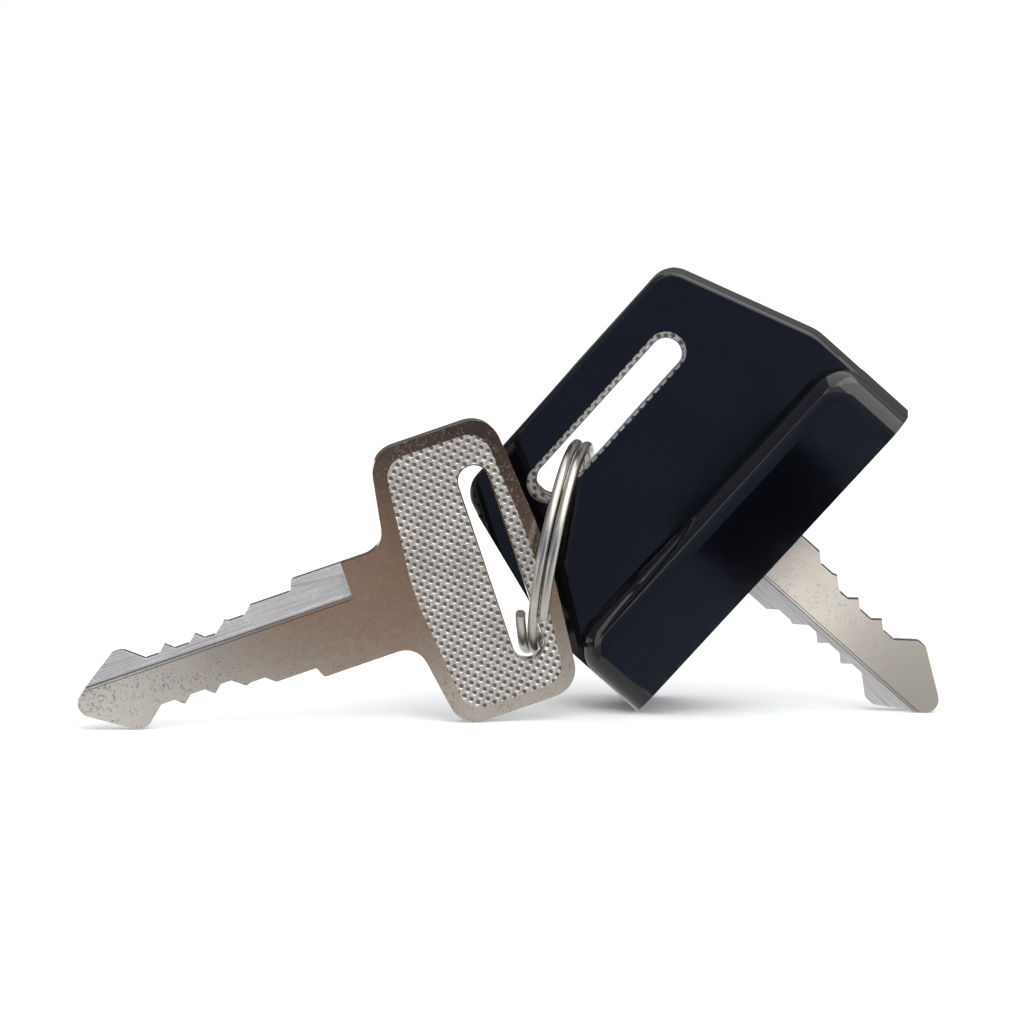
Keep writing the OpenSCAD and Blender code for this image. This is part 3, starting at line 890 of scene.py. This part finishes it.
# corners of the cards in metres, their tones, and the millimetres on them over which the tones change;
# the front card stands behind the camera, and hoodWay is the direction of the hood's rim on it
# the front card's tones are painted reflections: each zone glows with the tone set for the part of the keys or
# cover that mirrors it
cards = {
    "frontCard": [(0.35, -0.45, -0.25), (-0.35, -0.45, -0.25), (-0.35, -0.45, 0.30), (0.35, -0.45, 0.30)],
    "leftCard": [(-0.45, -0.45, 0.05), (-0.45, 0.35, 0.05), (-0.25, 0.35, 0.65), (-0.25, -0.45, 0.65)],
    "backCard": [(0.30, 0.25, 0.01), (-0.30, 0.25, 0.01), (-0.30, 0.25, 0.35), (0.30, 0.25, 0.35)],
    "hoodWay": (0.66, 0.75),
    "hoodFrom": (28, 38),
    "darkFrom": (-53, -47),
    "darkTo": (-19, -11),
    "metalFrom": (56, 60),
    "coveredFade": (58, 91),
    "bareFrom": (-32, -28),
    "tipTo": (36, 66),
    "bowDarkFrom": (100, 124),
    "bowDarkHeights": (-56, 60),
    "aboveFrom": (20, 240),
    "leftRise": (60, 600),
    "backRise": (30, 220),
    "paddle": (0.23, 0.27, 0.43),
    "hoodDark": (0.0, 0.0, 0.0),
    "hoodLight": (0.29, 0.34, 0.50),
    "coveredNear": (1.80, 1.74, 1.64),
    "coveredNose": (0.47, 0.45, 0.42),
    "tip": (0.88, 0.88, 0.86),
    "bowDark": (0.05, 0.043, 0.038),
    "bareHeights": (-75, -5),
    "bareTones": [
        (0.00, (0.70, 0.69, 0.66)),
        (0.16, (0.70, 0.69, 0.66)),
        (0.30, (0.19, 0.17, 0.155)),
        (0.42, (0.38, 0.27, 0.21)),
        (0.72, (0.33, 0.23, 0.17)),
        (0.87, (0.11, 0.08, 0.06)),
        (1.00, (0.035, 0.03, 0.027)),
    ],
    "above": (0.40, 0.44, 0.52),
    "leftNear": (0.22, 0.25, 0.33),
    "leftFar": (0.42, 0.45, 0.52),
    "backFoot": (0.11, 0.105, 0.10),
    "backTop": (0.45, 0.46, 0.48),
}


def makeSheet(name, corners, colour):
    mesh = bpy.data.meshes.new(name)
    mesh.from_pydata(corners, [], [(0, 1, 2, 3)])
    material = newMaterial(
        name, Base_Color=(*colour, 1), Roughness=studio["sheetRoughness"],
        Specular_IOR_Level=studio["sheetGloss"],
    )[0]
    piece = linked(name, mesh, material)
    return piece


# card that is seen in reflections alone; tone gives its colour from the millimetres across and up
def makeCard(name, corners, tone):
    card = makeSheet(name, corners, (0, 0, 0))
    tree = card.data.materials[0].node_tree
    shader = tree.nodes["Principled BSDF"]
    place = Shade(tree).add("ShaderNodeTexCoord", out=3).stretched(1 / mm, 1 / mm, 1 / mm)
    across, up = place.split()[::2]
    feed(shader, "Emission Color", tone(across, up))
    shader.inputs["Emission Strength"].default_value = 1
    card.visible_camera = False
    card.visible_diffuse = False
    card.visible_shadow = False


# painted reflections: the cover's front sees the upper left of this card, the covered blade the bottom, the bare
# key the right, and each zone's tone is set for the part that mirrors it
def frontTone(across, up):
    look = cards
    sideways, upwards = look["hoodWay"]
    along = sideways * across + upwards * up
    beyond = upwards * across - sideways * up
    hoodSides = 1 - along.rise(*look["darkFrom"]) + along.rise(*look["darkTo"])
    hood = hoodSides.blend(look["hoodDark"], look["hoodLight"])
    cover = beyond.rise(*look["hoodFrom"]).blend(look["paddle"], hood)
    covered = beyond.rise(*look["coveredFade"]).blend(look["coveredNear"], look["coveredNose"])
    first, last = look["bareHeights"]
    height = up.add("ShaderNodeMapRange", {}, {"Value": up, "From Min": first, "From Max": last})
    bow = up.add("ShaderNodeValToRGB", {"stops": look["bareTones"]}, {0: height})
    bowEnd = across.rise(*look["bowDarkFrom"]) * up.band(*look["bowDarkHeights"])
    bow = bowEnd.blend(bow, look["bowDark"])
    bare = across.rise(*look["tipTo"]).blend(look["tip"], bow)
    metal = along.rise(*look["bareFrom"]).blend(covered, bare)
    tone = beyond.rise(*look["metalFrom"]).blend(cover, metal)
    return up.rise(*look["aboveFrom"]).blend(tone, look["above"])


def leftTone(across, up):
    return up.rise(*cards["leftRise"]).blend(cards["leftNear"], cards["leftFar"])


def backTone(across, up):
    return up.rise(*cards["backRise"]).blend(cards["backFoot"], cards["backTop"])


# square soft lamp turned towards its aim
def makeLamp(name, at, aim, size, watts):
    data = bpy.data.lights.new(name, "AREA")
    data.size = size
    data.energy = watts
    lamp = bpy.data.objects.new(name, data)
    scene.collection.objects.link(lamp)
    lamp.location = at
    lamp.rotation_euler = (Vector(aim) - Vector(at)).to_track_quat("-Z", "Y").to_euler()


def makeStudio(look):
    half = look["sheetHalf"]

    def flatSheet(name, front, back):
        corners = [(-half, front, 0), (half, front, 0), (half, back, 0), (-half, back, 0)]
        return makeSheet(name, corners, look["sheetColour"])

    flatSheet("floorSheet", look["sheetFront"], look["sheetBack"])
    apron = flatSheet("floorApron", look["apronFront"], look["sheetFront"])
    apron.visible_glossy = False
    for name, tone in (("frontCard", frontTone), ("leftCard", leftTone), ("backCard", backTone)):
        makeCard(name, cards[name], tone)
    for lamp in look["lamps"]:
        makeLamp(*lamp)
    world = bpy.data.worlds.new("softRoom")
    scene.world = world
    world.use_nodes = True
    room = world.node_tree.nodes["Background"]
    start = Shade(world.node_tree)
    rays = start.add("ShaderNodeLightPath")
    outputs = rays.socket.node.outputs
    seen = Shade(world.node_tree, outputs["Is Camera Ray"])
    for ray in ("Is Glossy Ray", "Is Transmission Ray"):
        seen = seen.math("MAXIMUM", seen, Shade(world.node_tree, outputs[ray]))
    feed(room, "Color", seen.blend(look["worldColour"], (1, 1, 1)))
    feed(room, "Strength", seen * (1 - look["worldStrength"]) + look["worldStrength"])


makeStudio(studio)
scene.view_settings.view_transform = "Standard"
print("camera and studio made")
